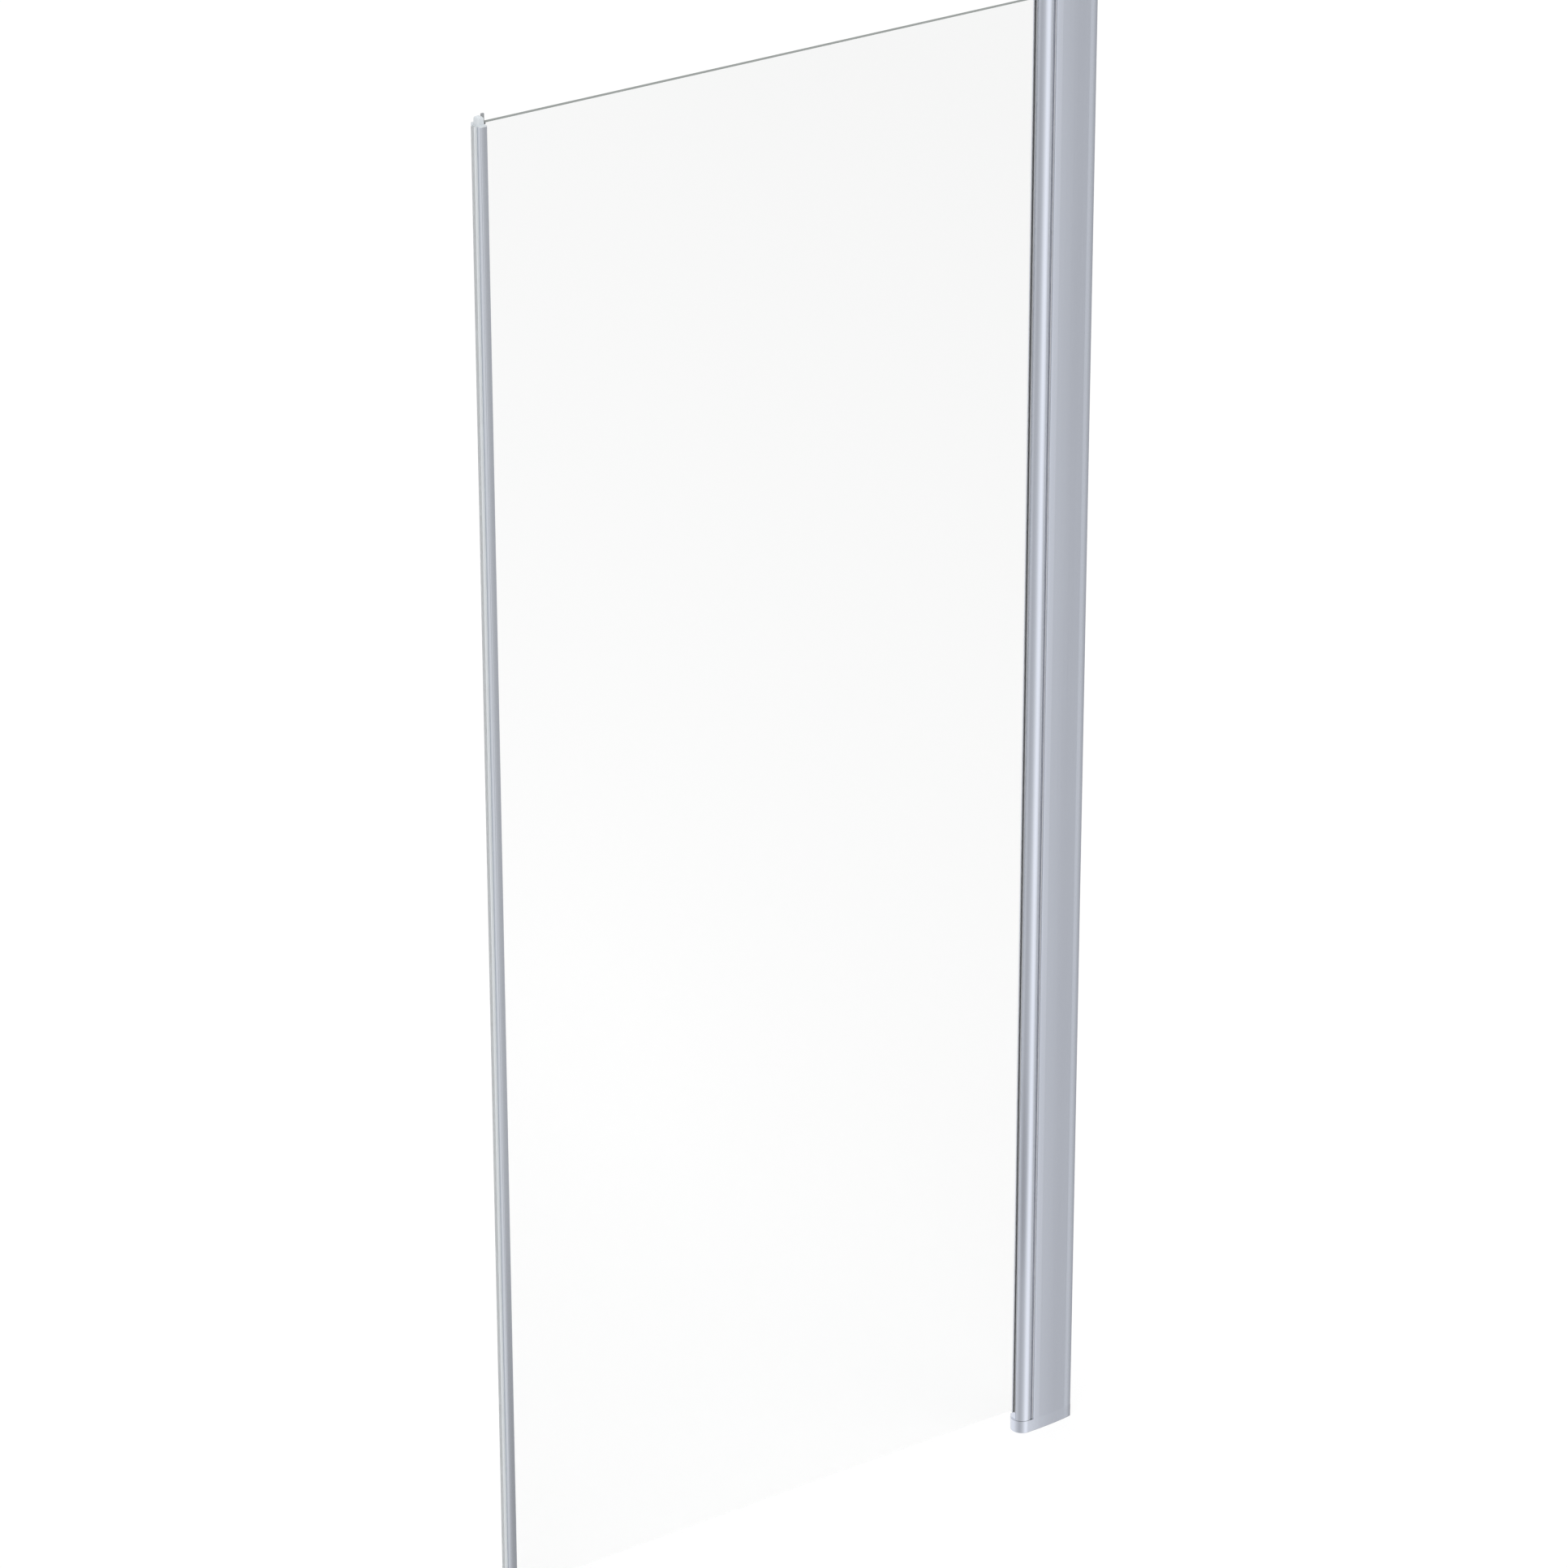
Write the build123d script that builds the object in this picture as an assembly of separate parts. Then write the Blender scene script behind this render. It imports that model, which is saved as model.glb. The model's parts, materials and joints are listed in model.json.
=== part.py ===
# Pivot shower door: a clear glass leaf held in a round hinge column that turns in a wall housing.
# Millimetres. Origin on the hinge axis, at the underside of the bottom cap. +X runs towards the wall,
# -Y is the outside of the shower and +Z is up. The leaf is modelled closed.

import math
import os

from build123d import *

# Overall
door_height = 2000.0
closing_edge = 814.3  # hinge axis to the outer face of the magnet carrier
wall_distance = 72.0  # hinge axis to the wall

# Play between pieces
touch = 0.03  # between soft or moulded pieces and the metal round them
over = 1.0  # how far a cut runs past the face that it opens
rooted = 0.9  # how deep a rib starts in the wall that carries it
running_gap = 0.5  # housing end to leaf end

# Glass
glass_thickness = 6.0
glass_bottom = 30.5
glass_arris = 0.4
spacer_length = 60.0
spacer_end = 270.0  # end of the glass to the middle of the first spacer
spacer_count = 3

# Pivots
pin_radius = 4.0
pin_length = 36.0
pin_chamfer = 0.6
pin_fit = 0.05
bush_wall = 1.02
bush_length = 20.0
bush_chamfer = 0.4
flange_reach = 3.6  # how far the flange of a bush stands out from the pin
washer_thickness = 0.9
washer_play = 0.05
washer_bore_play = 0.1

# Hinge column
column_radius = 15.0
column_wall = 2.0
slot_back = 1.9  # metal between the bore and the floor of the glass slot
slot_wall = 1.4
slot_mouth_radius = 0.6
glass_gap = 1.0  # floor of the slot to the edge of the glass

# Gaskets between column and glass
gasket_thickness = 1.5
gasket_lip = 0.4  # how far a gasket stands out of the column
gasket_lip_radius = 0.65
gasket_key_depth = 1.2
gasket_key_width = 2.6
gasket_key_inset = 0.7  # middle of the slot to the middle of the key

# Plugs of the column
plug_plate = 1.0
plug_prong = 10.0
prong_play = 0.1
setting_thickness = 1.0
setting_inset = 2.0  # round face of the column to the end of the setting block

# Housing
seat_gap = 0.6  # column to the seat of the housing
housing_wall = 1.8
lip_angle = 28.5  # from straight outwards round to the edge of the lip
lip_radius = 0.7
crest_setback = 2.0
crest_rise = 0.4
wall_half_depth = 11.8
roll_width = 12.0  # strip beside the wall where the cheek turns in more
roll_share = 0.5  # how much of the fall from crest to wall is left for that strip
wall_gap = 0.3
cavity_setback = 1.0  # how far the hollow starts inside the edge of the column
port_setback = 9.0  # edge of the column to the screw ports
port_bore = 1.8
port_wall = 1.4
port_inset = 1.0  # wall of the housing to the bore of a port
rib_width = 2.0
rib_play = 0.1
rib_distances = (26.0, 6.0)  # wall to the middle of each guide rib

# Seals between housing and column
seal_gap = 0.3
seal_reach = 6.0  # degrees that a seal stands out of its lip
seal_tail = 7.5  # degrees of rebate behind the edge of the lip
seal_end_play = 0.4  # degrees
seal_rebate = 0.6
seal_key_radius = 0.9
seal_key_rise = 0.45  # floor of the rebate to the middle of the round key
seal_key_turn = 5.25  # degrees from the edge of the lip to the key
seal_play = 0.05

# End caps of the housing
cap_height = 18.0
cap_plate = 3.0
cap_wall = 2.2
cap_edge_radius = 1.0
cap_rib = 1.6
boss_wall = 4.2
boss_drop = 1.5  # how far the pin boss stays below the rim of the cap
tongue_height = 8.0
tongue_gap = 2.4
tongue_half_width = 6.0

# Screws of the end caps
screw_play = 0.2
screw_boss_wall = 2.0
screw_head_height = 1.4
screw_head_sink = 0.1
screw_grip = 14.0  # length in the housing
screw_point = 2.0
screw_tip_radius = 0.6
screw_fit = 0.05
hex_radius = 1.45
hex_depth = 1.4

# Wall channel
channel_wall = 2.0
channel_setback = 14.0  # edge of the column to the free edges of the channel
channel_play = 0.3
channel_end_gap = 0.5
channel_corner = 1.0
wall_hole_radius = 3.25
wall_hole_count = 4
wall_hole_end = 118.0

# Width adjustment
width_travel = 15.0
lock_count = 4
lock_end = 262.0
lock_distance = 16.0  # wall to the lock screws
lock_radius = 2.0
lock_play = 0.25
lock_tip = 1.5  # how far a lock screw stands out of its plate
lock_head_radius = 3.8
lock_head_height = 2.4
lock_head_edge = 0.7
lock_slot_play = 0.6
spotface_radius = 5.5
spotface_depth = 0.35
cover_radius = 5.2
cover_height = 3.2
cover_skin = 0.6
cover_edge = 0.8
cover_play = 0.1
plate_width = 14.0
plate_height = 24.0
plate_thickness = 3.2
plate_corner = 1.5

# Closing profile
profile_width = 10.5
profile_depth = 21.0
profile_crown = 0.4  # how far the front and back faces bow out between their edges
profile_corner = 3.5
profile_edge_radius = 0.8
profile_wall = 1.3
profile_inset = 5.5  # how deep the glass goes in
profile_step = 3.0  # glass end to profile end
closing_spacer = 0.7
slot_web = 1.2
track_depth = 1.8
track_half = 4.6
track_mouth = 3.0
chamber_inset = 1.6
chamber_radius = 0.8

# Gaskets between closing profile and glass
closing_gasket_thickness = 1.3
gasket_tail = 4.0  # how far the back gasket stands above the glass
back_lip_reach = 3.4
back_lip_thickness = 1.9
front_lip_reach = 1.6
front_lip_thickness = 1.0
lip_corner = 0.7  # radius of the tip of a lip, for each millimetre of its thickness

# Magnet strip and its carrier
carrier_half = 4.0
carrier_wall = 0.7
carrier_corner = 1.2
carrier_gap = 0.2
carrier_play = 0.1
magnet_play = 0.1
magnet_thickness = 1.5
magnet_end_gap = 1.0

# Closing caps
closing_flange = 1.2
closing_block_wall = 2.3  # plastic beside the glass
closing_block_inset = 1.0  # outer face of the profile to the block
closing_block_step = 0.5  # inner face of the profile to the block
closing_block_corner = 1.5
closing_block_edge = 0.8
closing_cover = 2.8  # plastic above the corner of the glass
closing_lip_inset = 0.3
spigot_length = 8.0

# Heights that follow from the sizes above
housing_bottom = cap_height
housing_top = door_height - cap_height
leaf_bottom = housing_bottom + running_gap
leaf_top = housing_top - running_gap
column_bottom = leaf_bottom + plug_plate
column_top = leaf_top - plug_plate
glass_top = column_top
boss_top = cap_height - boss_drop
profile_bottom = glass_bottom + profile_step
profile_top = glass_top - profile_step

# Sections that follow from the sizes above
glass_half = glass_thickness / 2
column_bore = pin_radius + pin_fit + bush_wall + touch
hub_radius = column_bore + column_wall
slot_floor = column_bore + slot_back
slot_half = glass_half + gasket_thickness
slot_mouth = math.sqrt(column_radius**2 - slot_half**2)
key_half = slot_half + gasket_key_depth
key_middle = (slot_floor + column_radius) / 2 - gasket_key_inset
glass_inset = slot_floor + glass_gap
flange_radius = pin_radius + flange_reach
seat_radius = column_radius + seat_gap
lip_edge = 90 - lip_angle  # counted from +X
wall_edge = wall_distance - wall_gap
roll_start = wall_distance - roll_width
roll_half_depth = wall_half_depth + roll_share * (column_radius + crest_rise - wall_half_depth)
channel_half = wall_half_depth - housing_wall - channel_play
channel_front = column_radius + channel_setback
port_x = column_radius + port_setback
screw_hole = port_bore + screw_play
lock_x = wall_distance - lock_distance

# Section of the closing edge, from the magnet to the glass
magnet_face = -closing_edge
magnet_room = magnet_thickness + 2 * magnet_play
profile_left = magnet_face + 2 * carrier_wall + magnet_room + carrier_gap
profile_right = profile_left + profile_width
glass_left = profile_right - profile_inset
profile_floor = glass_left - closing_spacer
track_floor = profile_floor - slot_web
track_back = track_floor - track_depth
profile_slot = glass_half + closing_gasket_thickness


def ends(x, y):
    """The point and its mirror image on the other side of the door."""
    return (x, y), (x, -y)


def on_polar(radius, angle):
    """A point at a radius from the hinge axis, with its angle counted from +X."""
    return radius * math.cos(math.radians(angle)), radius * math.sin(math.radians(angle))


def block(x0, x1, y0, y1):
    """A rectangle between two corners."""
    return Pos((x0 + x1) / 2, (y0 + y1) / 2) * Rectangle(x1 - x0, y1 - y0)


def both_sides(face):
    """A face and its mirror image on the other side of the door."""
    return face + mirror(face, Plane.XZ)


def ring_sector(inner, outer, start, finish):
    """Part of a ring round the hinge axis, between two angles counted from +X."""
    far = CenterArc((0, 0), outer, start, finish - start)
    near = CenterArc((0, 0), inner, finish, start - finish)
    return make_face([far, Line(far @ 1, near @ 0), near, Line(near @ 1, far @ 0)])


def round_corners(section, points, radius):
    """Rounds the corners of a section that lie nearest to the given points."""
    corners = [section.vertices().sort_by_distance((x, y, 0))[0] for x, y in points]
    return fillet(corners, radius)


def bar(face, z0, z1):
    """A straight length of a section."""
    return extrude(Pos(0, 0, z0) * face, amount=z1 - z0)


def drum(radius, z0, z1):
    """A round bar on the hinge axis."""
    return bar(Circle(radius), z0, z1)


def along_y(radius, x, z, y0, y1):
    """A round bar that runs through the thickness of the door."""
    return Pos(x, (y0 + y1) / 2, z) * Rot(90, 0, 0) * Cylinder(radius, abs(y1 - y0))


def last_rim(shape, axis):
    """The circular edge that lies furthest along an axis."""
    return shape.edges().filter_by(GeomType.CIRCLE).sort_by(axis)[-1]


def upside_down(shape, ends_sum=door_height):
    """The same piece for the other end; ends_sum is the height of one end plus that of the other."""
    return Pos(0, 0, ends_sum) * mirror(shape, Plane.XY)


def spread(count, first, last):
    """Evenly spaced heights from the first to the last."""
    return [first + i * (last - first) / (count - 1) for i in range(count)]


def crest():
    """The widest point of the housing's cheek."""
    return column_radius + crest_setback, column_radius + crest_rise


def taper_radius():
    """Radius of the long arc from the crest to the strip beside the wall."""
    x, y = crest()
    along, down = roll_start - x, y - roll_half_depth
    return (along**2 + down**2) / (2 * down)


def cheek_edges(side):
    """The outer line of one cheek, from the top of the nose to the wall."""
    x, y = crest()
    front = TangentArc((x, side * y), (0, side * column_radius), tangent=(-1, 0))
    taper = TangentArc((x, side * y), (roll_start, side * roll_half_depth), tangent=(1, 0))
    roll = TangentArc(taper @ 1, (wall_edge, side * wall_half_depth), tangent=taper % 1)
    return [front, taper, roll]


def cheek_depth(x):
    """Half the depth of the housing at x, on the same three arcs as cheek_edges."""
    crest_x, crest_y = crest()
    if x <= crest_x:
        radius = (crest_x**2 + crest_rise**2) / (2 * crest_rise)
        return crest_y - radius + math.sqrt(radius**2 - (crest_x - x) ** 2)
    radius = taper_radius()
    if x <= roll_start:
        return crest_y - radius + math.sqrt(radius**2 - (x - crest_x) ** 2)
    turn = math.asin((roll_start - crest_x) / radius)
    along, down = wall_edge - roll_start, roll_half_depth - wall_half_depth
    radius = (along**2 + down**2) / (2 * (down * math.cos(turn) - along * math.sin(turn)))
    centre_x = roll_start - radius * math.sin(turn)
    centre_y = roll_half_depth - radius * math.cos(turn)
    return centre_y + math.sqrt(radius**2 - (x - centre_x) ** 2)


def bullet():
    """The outline shared by the housing and its caps: a round nose and two cheeks."""
    nose = ThreePointArc((0, column_radius), (-column_radius, 0), (0, -column_radius))
    wall_line = Line(*ends(wall_edge, wall_half_depth))
    return make_face(cheek_edges(1) + cheek_edges(-1) + [nose, wall_line])


def port_centre():
    """A screw port is merged into the inside of each cheek."""
    return port_x, cheek_depth(port_x) - housing_wall - port_inset - port_bore


def lip_opening():
    """Everything in front of the lips of the housing, where the column shows."""
    front = CenterArc((0, 0), 2 * column_radius, lip_edge, 360 - 2 * lip_edge)
    return make_face([Line((0, 0), front @ 0), front, Line(front @ 1, (0, 0))])


def lip_tip():
    """Where the edge of the lip meets the outer line of the cheek."""
    x = cheek_depth(column_radius / 2) * math.tan(math.radians(lip_angle))
    return x, cheek_depth(x)


def seal_key(radius):
    """The round key that holds a seal in its lip."""
    place = on_polar(seat_radius + seal_rebate + seal_key_rise, lip_edge - seal_key_turn)
    return Pos(*place) * Circle(radius)


def seal_groove():
    """Rebate in the seat and round key way behind the edge of the lip."""
    rebate = ring_sector(
        seat_radius - over, seat_radius + seal_rebate, lip_edge - seal_tail, lip_edge + seal_reach
    )
    return rebate + seal_key(seal_key_radius)


def seal_section():
    """Soft strip beside the column, with its key in the lip."""
    outer = seat_radius + seal_rebate - seal_play
    start = lip_edge - seal_tail + seal_end_play
    strip = ring_sector(column_radius + seal_gap, outer, start, lip_edge + seal_reach)
    return strip + seal_key(seal_key_radius - seal_play)


def housing_cavity():
    """The hollow between the cheeks, open to the wall."""
    depth = wall_half_depth - housing_wall
    mouth = block(wall_edge - 2 * housing_wall, wall_edge + over, -depth, depth)
    hollow = offset(bullet(), -housing_wall) + mouth
    behind_lips = block(
        column_radius - cavity_setback, wall_edge + over, -2 * column_radius, 2 * column_radius
    )
    return hollow & behind_lips - Circle(seat_radius + housing_wall)


def housing_section():
    """Seat for the column, two cheeks with seal grooves, two screw ports and four guide ribs."""
    section = bullet() - Circle(seat_radius) - lip_opening() - housing_cavity()
    for distance in rib_distances:
        x = wall_distance - distance
        top = cheek_depth(x) - housing_wall + rooted
        section += both_sides(block(x - rib_width / 2, x + rib_width / 2, channel_half + rib_play, top))
    section += both_sides(Pos(*port_centre()) * Circle(port_bore + port_wall))
    section -= both_sides(Pos(*port_centre()) * Circle(port_bore))
    section = round_corners(section, ends(*lip_tip()), lip_radius)
    section = round_corners(section, ends(wall_edge, wall_half_depth), lip_radius)
    return section - both_sides(seal_groove())


def lock_places():
    return spread(lock_count, lock_end, door_height - lock_end)


def spotface_y():
    """Height of the flat under the screw heads, on the back cheek."""
    return cheek_depth(lock_x + spotface_radius) - spotface_depth


def hinge_housing():
    """The extrusion, with a hole and a flat spot in the back cheek for each lock screw."""
    housing = bar(housing_section(), housing_bottom, housing_top)
    outside = cheek_depth(lock_x - spotface_radius) + over
    for z in lock_places():
        housing -= along_y(lock_radius + lock_play, lock_x, z, channel_half, outside)
        housing -= along_y(spotface_radius, lock_x, z, spotface_y(), outside)
    return housing


def wall_channel():
    """U channel with round wall holes and, at the back, slots for the lock screws."""
    inside = channel_half - channel_wall
    section = block(channel_front, wall_distance, -channel_half, channel_half)
    section = fillet(section.vertices().group_by(Axis.X)[-1], channel_corner)
    section -= block(channel_front - over, wall_distance - channel_wall, -inside, inside)
    channel = bar(section, housing_bottom + channel_end_gap, housing_top - channel_end_gap)
    web = Pos(wall_distance - channel_wall / 2, 0, 0) * Rot(0, 90, 0)
    wall_hole = web * Cylinder(wall_hole_radius, channel_wall + 2 * over)
    for z in spread(wall_hole_count, wall_hole_end, door_height - wall_hole_end):
        channel -= Pos(0, 0, z) * wall_hole
    slot = SlotCenterToCenter(width_travel, 2 * (lock_radius + lock_slot_play))
    opening = Pos(lock_x - width_travel / 2, channel_half + over, 0) * Rot(90, 0, 0) * slot
    lock_slot = extrude(opening, amount=channel_wall + 2 * over)
    for z in lock_places():
        channel -= Pos(0, 0, z) * lock_slot
    return channel


def lock_screw(z):
    """Screw through the back cheek and the channel into its plate, with a hexagon socket."""
    seat = spotface_y()
    top = seat + lock_head_height
    tip = channel_half - channel_wall - plate_thickness - lock_tip
    head = along_y(lock_head_radius, lock_x, z, seat, top)
    head = chamfer(last_rim(head, Axis.Y), lock_head_edge)
    socket = Pos(lock_x, top, z) * Rot(90, 0, 0) * RegularPolygon(hex_radius, 6)
    return head + along_y(lock_radius, lock_x, z, tip, seat) - extrude(socket, amount=hex_depth)


def lock_plate(z):
    """Plate inside the channel that the lock screw is tightened into."""
    top = channel_half - channel_wall - touch
    bottom = top - plate_thickness
    plate = Pos(lock_x, (top + bottom) / 2, z) * Box(plate_width, plate_thickness, plate_height)
    plate = chamfer(plate.edges().filter_by(Axis.Y), plate_corner)
    return plate - along_y(lock_radius + touch, lock_x, z, bottom - over, top + over)


def lock_cover(z):
    """Snap-on cover over the head of a lock screw."""
    seat = spotface_y()
    cover = along_y(cover_radius, lock_x, z, seat, seat + cover_height)
    cover = chamfer(last_rim(cover, Axis.Y), cover_edge)
    room = lock_head_radius + cover_play
    return cover - along_y(room, lock_x, z, seat, seat + cover_height - cover_skin)


def end_cap():
    """Lower cap of the housing: shell with a pin boss, two screw bosses, ribs and a tongue."""
    cap = bar(bullet(), 0, cap_height)
    cap = fillet(cap.edges().group_by(Axis.Z)[0], cap_edge_radius)
    inner = offset(bullet(), -cap_wall)
    cap -= bar(inner, cap_plate, cap_height)
    half_rib = cap_rib / 2
    x, y = port_centre()
    guide_x = wall_distance - rib_distances[0]
    ribs = block(0, wall_edge, -half_rib, half_rib)
    ribs += block(x - half_rib, x + half_rib, -y, y)
    ribs += block(guide_x - half_rib, guide_x + half_rib, -channel_half, channel_half)
    cap += bar(ribs & inner, cap_plate, boss_top)
    bosses = both_sides(Pos(x, y) * Circle(screw_hole + screw_boss_wall))
    cap += bar(bosses & bullet(), cap_plate, cap_height)
    cap += drum(pin_radius + boss_wall, cap_plate, boss_top)
    tongue_x = seat_radius + housing_wall + tongue_gap
    tongue = block(tongue_x, tongue_x + cap_rib, -tongue_half_width, tongue_half_width)
    cap += bar(tongue, cap_plate, cap_height + tongue_height)
    cap -= drum(pin_radius + touch, cap_plate, cap_height)
    countersink = Pos(0, 0, screw_head_height / 2) * Cone(
        screw_hole + screw_head_height, screw_hole, screw_head_height
    )
    for place in ends(x, y):
        cap -= Pos(*place) * (bar(Circle(screw_hole), 0, cap_height) + countersink)
    return cap


def cap_screws():
    """Two countersunk screws up through the cap into the ports of the housing."""
    shank = port_bore - screw_fit
    grip_end = cap_height + screw_grip
    head_top = screw_head_sink + screw_head_height
    screw = bar(Circle(shank), head_top, grip_end)
    screw += Pos(0, 0, head_top - screw_head_height / 2) * Cone(
        shank + screw_head_height, shank, screw_head_height
    )
    screw += Pos(0, 0, grip_end + screw_point / 2) * Cone(shank, screw_tip_radius, screw_point)
    screw -= bar(RegularPolygon(hex_radius, 6), 0, hex_depth)
    return [Pos(*place) * screw for place in ends(*port_centre())]


def pivot_pin():
    """Steel pin pressed into the boss of the cap."""
    pin = drum(pin_radius, cap_plate, cap_plate + pin_length)
    return chamfer(pin.edges().filter_by(GeomType.CIRCLE), pin_chamfer)


def pivot_washer():
    """Washer on the boss of the lower cap, which carries the leaf."""
    washer = drum(flange_radius, boss_top, boss_top + washer_thickness)
    return washer - drum(pin_radius + washer_bore_play, boss_top, boss_top + washer_thickness)


def pivot_bush():
    """Flanged bush in the bore of the column, with a lead-in at its far end."""
    underside = boss_top + washer_thickness + washer_play
    end = column_bottom + bush_length
    bush = drum(flange_radius, underside, column_bottom - touch)
    bush += drum(column_bore - touch, underside, end)
    bush -= drum(pin_radius + pin_fit, underside, end)
    mouth = bush.edges().filter_by(GeomType.CIRCLE).group_by(Axis.Z)[-1].sort_by(SortBy.RADIUS)[0]
    return chamfer(mouth, bush_chamfer)


def column_hollow(play=0.0):
    """One quarter hollow of the column, smaller by some play for the prongs of the plugs."""
    inside = column_radius - column_wall - play
    quarter = block(0, inside, column_wall / 2 + play, inside)
    return (Circle(inside) - Circle(hub_radius + play)) & quarter


def column_section():
    """Round tube with a central pivot bore, two hollows and a keyed slot for the glass."""
    inside = column_radius - column_wall
    beside_slot = block(-inside, 0, key_half + slot_wall, inside)
    hollow = column_hollow() + ((Circle(inside) - Circle(hub_radius)) & beside_slot)
    section = Circle(column_radius) - Circle(column_bore) - both_sides(hollow)
    section -= block(-column_radius - over, -slot_floor, -slot_half, slot_half)
    half_key = gasket_key_width / 2
    section -= block(-key_middle - half_key, -key_middle + half_key, -key_half, key_half)
    return round_corners(section, ends(-slot_mouth, slot_half), slot_mouth_radius)


def column_gasket():
    """Glazing strip on one face of the glass, keyed into the slot and rounded at its lip."""
    outer = slot_half - touch
    strip = block(-slot_mouth - gasket_lip, -glass_inset, glass_half, outer)
    strip = fillet(strip.vertices().group_by(Axis.X)[0], gasket_lip_radius)
    half_key = gasket_key_width / 2 - touch
    return strip + block(-key_middle - half_key, -key_middle + half_key, glass_half, key_half - touch)


def plug_body():
    """Plate and two prongs, the same in the plugs of both ends."""
    plug = drum(column_radius - touch, leaf_bottom, column_bottom)
    plug += bar(both_sides(column_hollow(prong_play)), column_bottom, column_bottom + plug_prong)
    return plug - drum(flange_radius + touch, leaf_bottom, column_bottom)


def column_plug_bottom():
    """Lower plug, with a tongue in the slot that carries the glass."""
    half = slot_half - touch
    tongue = block(-slot_mouth + touch, -slot_floor - touch, -half, half)
    tongue = bar(tongue, leaf_bottom, glass_bottom - setting_thickness)
    return plug_body() + tongue - drum(flange_radius + touch, leaf_bottom, column_bottom)


def column_plug_top():
    """Upper plug; the glass fills the slot there, so only the prongs go in."""
    return upside_down(plug_body())


def glass_setting_block():
    """Rubber block that carries the glass on the lower plug."""
    section = block(-column_radius + setting_inset, -glass_inset, -glass_half, glass_half)
    return bar(section, glass_bottom - setting_thickness, glass_bottom)


def edge_spacers(x0, x1):
    """Thin blocks between the edge of the glass and the floor of a slot."""
    section = block(x0, x1, -glass_half, glass_half)
    places = spread(spacer_count, glass_bottom + spacer_end, glass_top - spacer_end)
    return [bar(section, z - spacer_length / 2, z + spacer_length / 2) for z in places]


def glass_panel():
    """Safety glass with a ground arris all round."""
    width = -glass_inset - glass_left
    height = glass_top - glass_bottom
    centre = Pos(glass_left + width / 2, 0, glass_bottom + height / 2)
    pane = centre * Box(width, glass_thickness, height)
    return chamfer(pane.edges().filter_by(Axis.Y, reverse=True), glass_arris)


def profile_outline():
    """Outline of the closing profile: bowed front and back, with large corners on its outer side."""
    half = profile_depth / 2
    edge = half - profile_crown
    middle = (profile_left + profile_right) / 2
    lines = [Line(*ends(x, edge)) for x in (profile_left, profile_right)]
    for side in (1, -1):
        face_start, face_end = (profile_left, side * edge), (profile_right, side * edge)
        lines.append(ThreePointArc(face_start, (middle, side * half), face_end))
    outline = make_face(lines)
    outline = fillet(outline.vertices().group_by(Axis.X)[0], profile_corner)
    return fillet(outline.vertices().group_by(Axis.X)[-1], profile_edge_radius)


def profile_chamber(play=0.0):
    """One of the two hollows beside the glass slot, smaller by some play for the spigots."""
    chamber = block(
        profile_left + chamber_inset + play,
        profile_right - profile_wall - play,
        profile_slot + profile_wall + play,
        profile_depth / 2 - profile_crown - profile_wall - play,
    )
    return fillet(chamber.vertices(), chamber_radius)


def profile_section():
    """Slot for the glass at one side, track for the magnet carrier at the other, two hollows."""
    section = profile_outline() - both_sides(profile_chamber())
    section -= block(profile_floor, profile_right + over, -profile_slot, profile_slot)
    section -= block(track_back, track_floor, -track_half, track_half)
    return section - block(profile_left - over, track_back, -track_mouth, track_mouth)


def closing_profile():
    return bar(profile_section(), profile_bottom, profile_top)


def closing_gasket(lip_reach, lip_thickness):
    """Glazing strip in the closing profile, with a lip that lies on the glass."""
    outer = profile_slot - touch
    lip_top = glass_half + lip_thickness
    strip = block(glass_left, profile_right + touch, glass_half, min(outer, lip_top))
    strip += block(glass_left, profile_right, glass_half, outer)
    lip = block(profile_right + touch, profile_right + lip_reach, glass_half, lip_top)
    corner = lip.vertices().group_by(Axis.X)[-1].sort_by(Axis.Y)[-1]
    return strip + fillet(corner, lip_thickness * lip_corner)


def closing_gasket_front():
    section = closing_gasket(front_lip_reach, front_lip_thickness)
    return bar(mirror(section, Plane.XZ), profile_bottom, profile_top)


def closing_gasket_back():
    """The back gasket, whose lip is cut long and stands above the glass."""
    section = closing_gasket(back_lip_reach, back_lip_thickness)
    room = block(profile_right + closing_lip_inset, profile_right + back_lip_reach, 0, profile_depth)
    tail = bar(section & room, profile_top, glass_top + gasket_tail)
    return bar(section, profile_bottom, profile_top) + tail


def magnet_carrier():
    """Hollow strip: a foot in the track of the profile, a neck and a rounded head."""
    head = block(magnet_face, profile_left - touch, -carrier_half, carrier_half)
    head = fillet(head.vertices().group_by(Axis.X)[0], carrier_corner)
    neck_half = track_mouth - carrier_play
    neck = block(profile_left - carrier_gap, track_floor - touch, -neck_half, neck_half)
    foot_half = track_half - carrier_play
    foot = block(track_back + touch, track_floor - touch, -foot_half, foot_half)
    pocket_left = magnet_face + carrier_wall
    pocket_half = carrier_half - carrier_wall
    pocket = block(pocket_left, pocket_left + magnet_room, -pocket_half, pocket_half)
    return bar(head + neck + foot - pocket, profile_bottom, profile_top)


def magnet_strip():
    x0 = magnet_face + carrier_wall + magnet_play
    half = carrier_half - carrier_wall - magnet_play
    section = block(x0, x0 + magnet_thickness, -half, half)
    return bar(section, profile_bottom + magnet_end_gap, profile_top - magnet_end_gap)


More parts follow.
